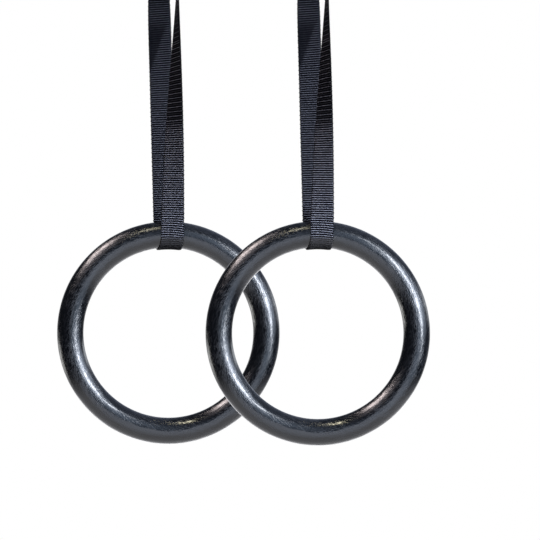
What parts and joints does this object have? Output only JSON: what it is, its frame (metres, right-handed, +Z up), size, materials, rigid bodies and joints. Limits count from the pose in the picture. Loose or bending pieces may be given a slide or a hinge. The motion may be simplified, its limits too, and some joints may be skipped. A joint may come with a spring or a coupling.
{
  "type": "gymnastics rings",
  "caption": "Gymnastics rings: hollow black moulded hand rings, each hung in a loop of ribbed black webbing closed by a spring-loaded cam buckle and looped over a bar.",
  "frame": {"origin": "centre of the bar inside the left strap loop", "axes": "+Z up, Y along the bars and the rings' own axes, -Y towards the viewer, +X to the right ring"},
  "size_m": [0.394, 0.237, 0.7418],
  "materials": {
    "ring_plastic": "textured black ABS with a worn gloss",
    "webbing": "ribbed polyester webbing",
    "thread": "bonded thread",
    "buckle_plate": "zinc plated, satin",
    "buckle_cam": "die-cast zinc, satin",
    "buckle_pin": "plated steel",
    "spring_wire": "spring steel"
  },
  "bodies": {
    "bar_loops": {"left_strap_bar_wrap": "webbing", "right_strap_bar_wrap": "webbing"},
    "left_hanger": {"left_strap_bar_bends": "webbing", "left_strap_sewn_leg": "webbing", "left_strap_stitching": "thread", "left_strap_front_upper": "webbing", "left_strap_back_upper": "webbing", "left_strap_tail_exit": "webbing", "left_buckle_frame": "buckle_plate", "left_buckle_end_bar": "buckle_pin", "left_buckle_cam_pin": "buckle_pin", "left_buckle_spring": "spring_wire"},
    "left_carrier": {"left_strap_front_lower": "webbing", "left_strap_back_lower": "webbing"},
    "left_yoke": {"left_strap_ring_ends": "webbing"},
    "left_cradle": {"left_strap_ring_bend": "webbing"},
    "left_tail": {"left_strap_tail": "webbing"},
    "left_lever": {"left_buckle_cam": "buckle_cam"},
    "left_ring": {"left_ring_front_shell": "ring_plastic", "left_ring_back_shell": "ring_plastic"},
    "right_hanger": {"right_strap_bar_bends": "webbing", "right_strap_sewn_leg": "webbing", "right_strap_stitching": "thread", "right_strap_front_upper": "webbing", "right_strap_back_upper": "webbing", "right_strap_tail_exit": "webbing", "right_buckle_frame": "buckle_plate", "right_buckle_end_bar": "buckle_pin", "right_buckle_cam_pin": "buckle_pin", "right_buckle_spring": "spring_wire"},
    "right_carrier": {"right_strap_front_lower": "webbing", "right_strap_back_lower": "webbing"},
    "right_yoke": {"right_strap_ring_ends": "webbing"},
    "right_cradle": {"right_strap_ring_bend": "webbing"},
    "right_tail": {"right_strap_tail": "webbing"},
    "right_lever": {"right_buckle_cam": "buckle_cam"},
    "right_ring": {"right_ring_front_shell": "ring_plastic", "right_ring_back_shell": "ring_plastic"}
  },
  "joints": [
    {"name": "left_swing", "type": "hinge", "parent": "bar_loops", "child": "left_hanger", "pos_m": [0, 0, 0], "axis": [0, 1, 0], "range_deg": [-30, 30], "deforming": ["left_strap_bar_bends"]},
    {"name": "left_cam_lever", "type": "hinge", "parent": "left_hanger", "child": "left_lever", "pos_m": [-0.0212, 0, -0.116], "axis": [0, -1, 0], "range_deg": [0, 35], "stiffness_Nm_per_rad": 0.03, "springref_deg": -20.05, "deforming": ["left_buckle_spring"]},
    {"name": "left_height", "type": "slide", "parent": "left_hanger", "child": "left_carrier", "axis": [0, 0, 1], "range_m": [0, 0.07], "deforming": ["left_strap_front_upper", "left_strap_back_upper"]},
    {"name": "left_tail_slide", "type": "slide", "parent": "left_hanger", "child": "left_tail", "axis": [0, 0, 1], "range_m": [-0.14, 0]},
    {"name": "left_twist", "type": "hinge", "parent": "left_carrier", "child": "left_yoke", "pos_m": [0, 0, -0.504], "axis": [0, 0, 1], "range_deg": [-90, 90], "deforming": ["left_strap_front_lower", "left_strap_back_lower"]},
    {"name": "left_tilt", "type": "hinge", "parent": "left_yoke", "child": "left_cradle", "pos_m": [0, 0, -0.504], "axis": [1, 0, 0], "range_deg": [-40, 40], "deforming": ["left_strap_ring_bend"]},
    {"name": "left_spin", "type": "hinge", "parent": "left_cradle", "child": "left_ring", "pos_m": [0, 0, -0.608], "axis": [0, 1, 0], "continuous": true},
    {"name": "right_swing", "type": "hinge", "parent": "bar_loops", "child": "right_hanger", "pos_m": [0.158, -0.2, 0], "axis": [0, 1, 0], "range_deg": [-30, 30], "deforming": ["right_strap_bar_bends"]},
    {"name": "right_cam_lever", "type": "hinge", "parent": "right_hanger", "child": "right_lever", "pos_m": [0.1368, -0.2, -0.116], "axis": [0, -1, 0], "range_deg": [0, 35], "stiffness_Nm_per_rad": 0.03, "springref_deg": -20.05, "deforming": ["right_buckle_spring"]},
    {"name": "right_height", "type": "slide", "parent": "right_hanger", "child": "right_carrier", "axis": [0, 0, 1], "range_m": [0, 0.07], "deforming": ["right_strap_front_upper", "right_strap_back_upper"]},
    {"name": "right_tail_slide", "type": "slide", "parent": "right_hanger", "child": "right_tail", "axis": [0, 0, 1], "range_m": [-0.14, 0]},
    {"name": "right_twist", "type": "hinge", "parent": "right_carrier", "child": "right_yoke", "pos_m": [0.158, -0.2, -0.504], "axis": [0, 0, 1], "range_deg": [-90, 90], "deforming": ["right_strap_front_lower", "right_strap_back_lower"]},
    {"name": "right_tilt", "type": "hinge", "parent": "right_yoke", "child": "right_cradle", "pos_m": [0.158, -0.2, -0.504], "axis": [1, 0, 0], "range_deg": [-40, 40], "deforming": ["right_strap_ring_bend"]},
    {"name": "right_spin", "type": "hinge", "parent": "right_cradle", "child": "right_ring", "pos_m": [0.158, -0.2, -0.608], "axis": [0, 1, 0], "continuous": true}
  ],
  "couplings": [
    {"joint": "left_tail_slide", "follows": "left_height", "ratio": -2},
    {"joint": "right_tail_slide", "follows": "right_height", "ratio": -2}
  ]
}
